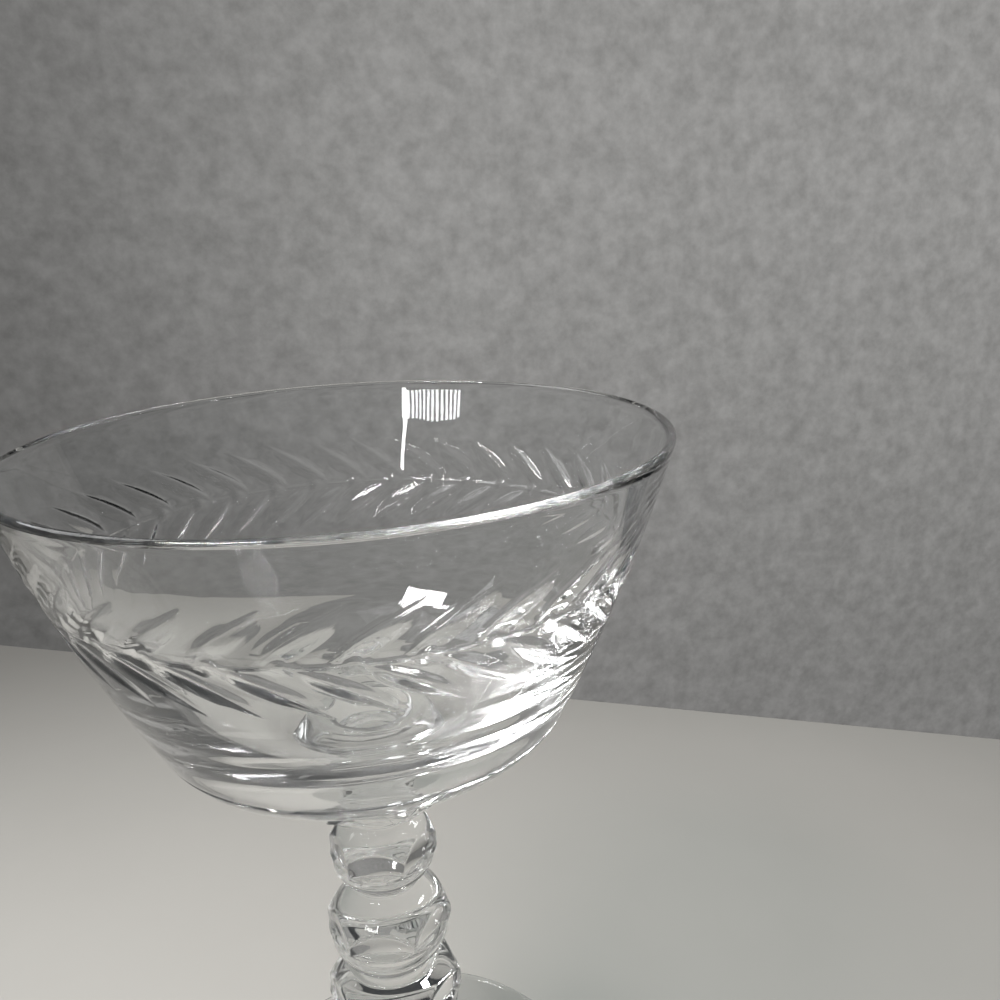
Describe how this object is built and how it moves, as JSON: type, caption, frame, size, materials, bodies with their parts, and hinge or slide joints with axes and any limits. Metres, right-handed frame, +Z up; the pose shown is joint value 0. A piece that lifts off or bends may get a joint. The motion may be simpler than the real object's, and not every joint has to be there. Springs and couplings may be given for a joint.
{
  "type": "sherbet glass",
  "caption": "Clear stemmed sherbet glass for chilled desserts or sparkling drinks: a wide tapered bowl with a rounded heel, on a stem of graduated hexagonal knops and a round foot.",
  "frame": {"origin": "centre of the ring on the underside of the foot, on the surface that the glass stands on", "axes": "+Z up the glass's axis from the foot to the rim, +X and +Y level, with a corner of each knop at 49 degrees from +X"},
  "size_m": [0.095, 0.095, 0.138],
  "materials": {
    "bowl_glass": "clear fire-polished crystal, with a satin cut laurel band round the outside",
    "stem_glass": "clear pressed crystal with soft fire-polished facet edges",
    "foot_glass": "clear polished crystal"
  },
  "bodies": {
    "root": {"bowl": "bowl_glass", "stem": "stem_glass", "foot": "foot_glass"}
  },
  "joints": []
}
